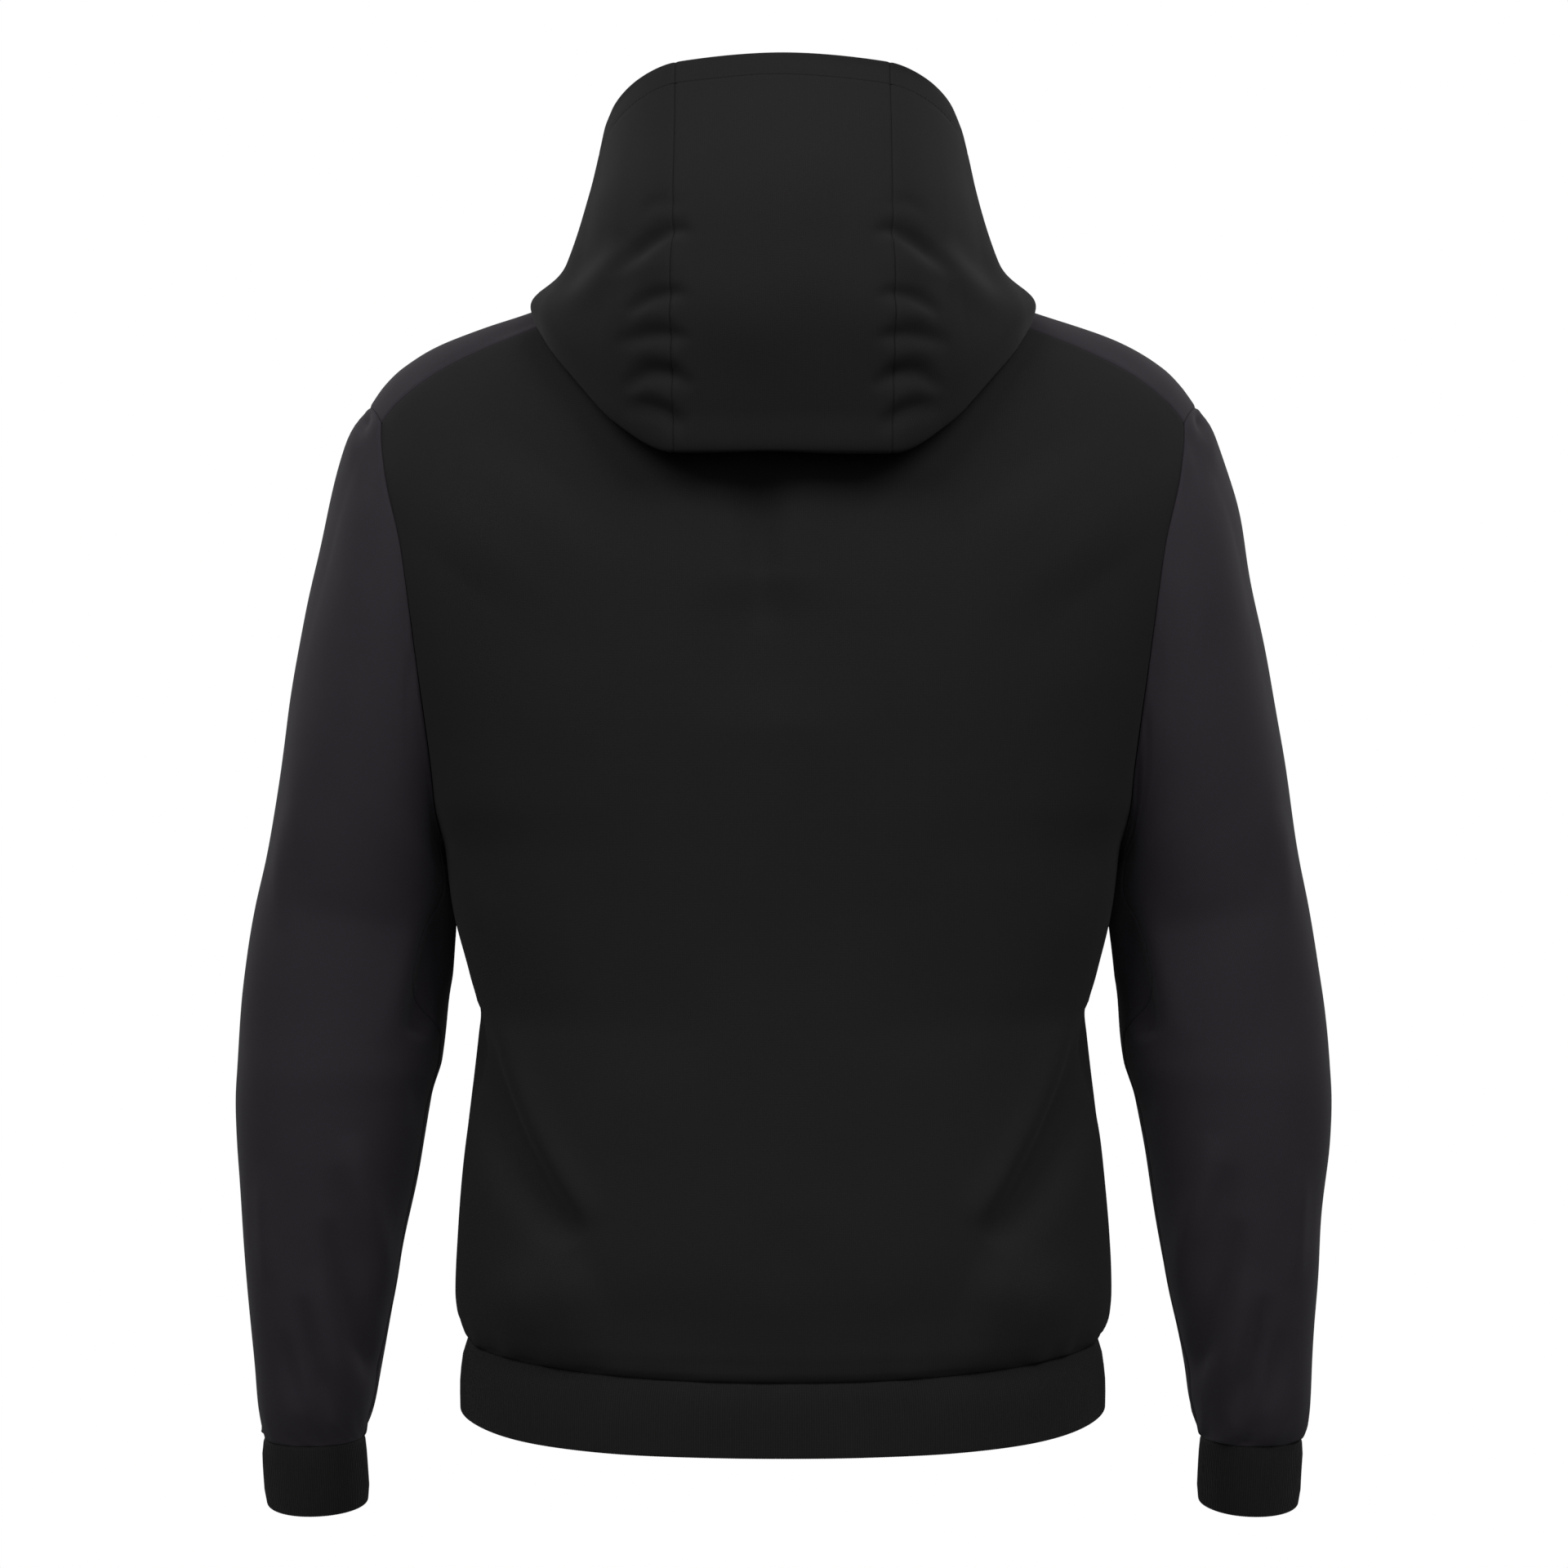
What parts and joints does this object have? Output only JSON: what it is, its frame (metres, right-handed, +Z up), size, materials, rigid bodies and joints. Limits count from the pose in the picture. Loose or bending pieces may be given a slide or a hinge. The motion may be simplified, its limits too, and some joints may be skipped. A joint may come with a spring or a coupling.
{
  "type": "hoodie",
  "caption": "Pullover hoodie with a three-panel hood folded back, set-in sleeves, contrast shoulder panels and sleeves, and ribbed cuffs and hem, filled out as worn.",
  "frame": {"origin": "the middle of the neck, at the level where the shoulders meet it, where a wearer or form holds the garment up", "axes": "+Z is up, the front faces -Y, the back faces +Y, and +X is the wearer's left"},
  "size_m": [0.6792, 0.301, 0.8753],
  "materials": {
    "black_fleece": "matt brushed fleece, black",
    "plum_fleece": "matt brushed fleece, very dark plum-grey",
    "black_rib": "matt rib knit, black"
  },
  "bodies": {
    "root": {"back_panel": "black_fleece", "front_panel": "black_fleece", "shoulder_panel_left": "plum_fleece", "shoulder_panel_right": "plum_fleece", "sleeve_left": "plum_fleece", "sleeve_right": "plum_fleece", "cuff_left": "black_rib", "cuff_right": "black_rib", "hem_rib": "black_rib", "hood_centre": "black_fleece", "hood_side_left": "black_fleece", "hood_side_right": "black_fleece"}
  },
  "joints": []
}
